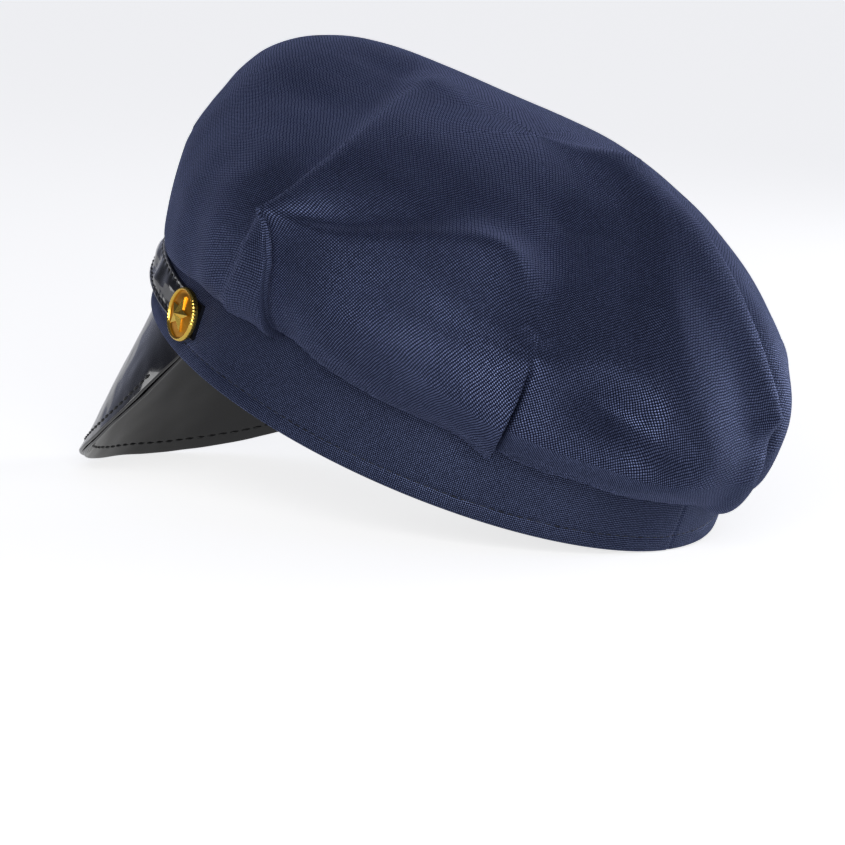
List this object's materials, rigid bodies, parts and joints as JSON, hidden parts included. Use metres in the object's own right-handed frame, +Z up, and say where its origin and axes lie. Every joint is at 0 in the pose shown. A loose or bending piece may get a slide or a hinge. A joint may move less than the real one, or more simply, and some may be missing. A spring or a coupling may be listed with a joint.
{
  "type": "peaked cap",
  "caption": "Soft navy cloth cap with a pleated crown, plain headband, black patent peak and front strap held by gilt star buttons.",
  "frame": {"origin": "middle of the cap's bounding box, on the surface it rests on", "axes": "+Z up, the front of the cap (its peak) towards -Y, the wearer's left towards +X"},
  "size_m": [0.208, 0.2526, 0.1478],
  "materials": {
    "cloth": "navy woven polyester",
    "patent": "black patent vinyl, high gloss",
    "patent_underside": "black vinyl, gloss, slightly rippled",
    "gilt": "bright gilt metal"
  },
  "bodies": {
    "root": {"crown": "cloth", "headband": "cloth", "peak": "patent", "peak_underside": "patent_underside", "strap": "patent", "button_left": "gilt", "button_right": "gilt"}
  },
  "joints": []
}
